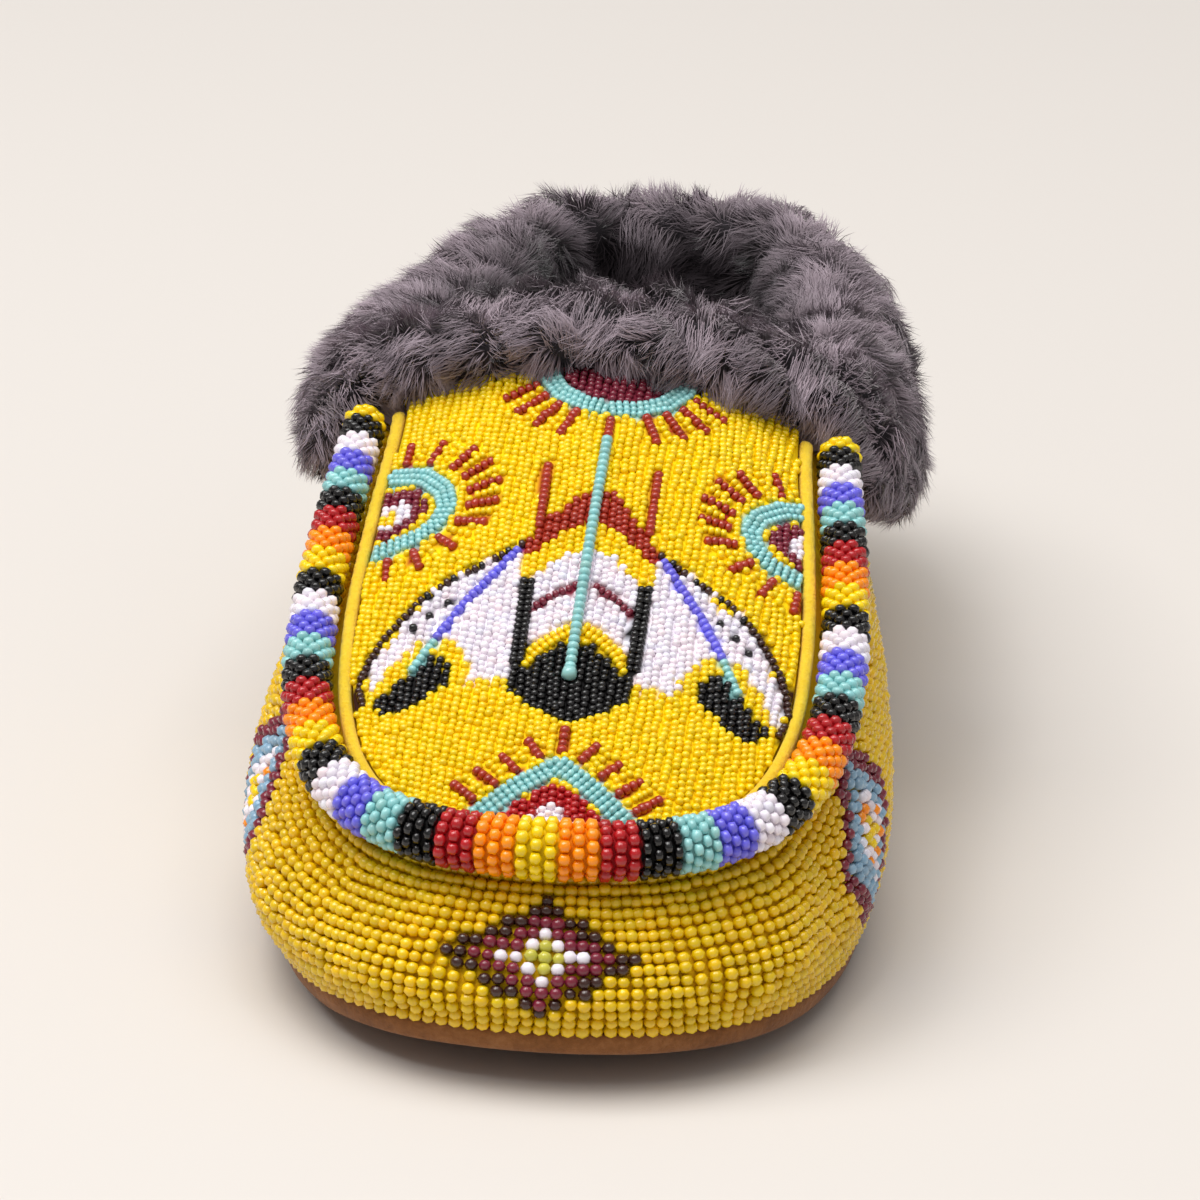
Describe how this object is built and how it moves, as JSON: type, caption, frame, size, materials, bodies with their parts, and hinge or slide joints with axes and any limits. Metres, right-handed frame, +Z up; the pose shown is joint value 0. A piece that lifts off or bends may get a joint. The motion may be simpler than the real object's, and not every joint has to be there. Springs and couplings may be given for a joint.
{
  "type": "beaded moccasin",
  "caption": "Slipper moccasin for the right foot: suede sole, sides and vamp covered in seed beads, a beaded rope round the vamp, and a turned-out fur collar.",
  "frame": {"origin": "on the floor under the shoe, halfway along the sole on its centre line", "axes": "+Z up, +Y from toe to heel, +X towards the inner side of the right foot"},
  "size_m": [0.1065, 0.2647, 0.0885],
  "materials": {
    "suede": "brown suede with a short mottled nap",
    "fleece": "grey fleece",
    "side_beads": "glossy opaque yellow seed beads with coloured lozenges",
    "vamp_beads": "glossy opaque seed beads, yellow ground with a feather fan and rosettes",
    "binding": "smooth yellow felted edge",
    "rope_beads": "glossy opaque seed beads in bands of many colours",
    "fur": "dense soft grey plush fur"
  },
  "bodies": {
    "root": {"outsole": "suede", "insole": "fleece", "upper": "side_beads", "vamp_panel": "vamp_beads", "vamp_binding": "binding", "beaded_rope": "rope_beads", "fur_collar": "fur"}
  },
  "joints": []
}
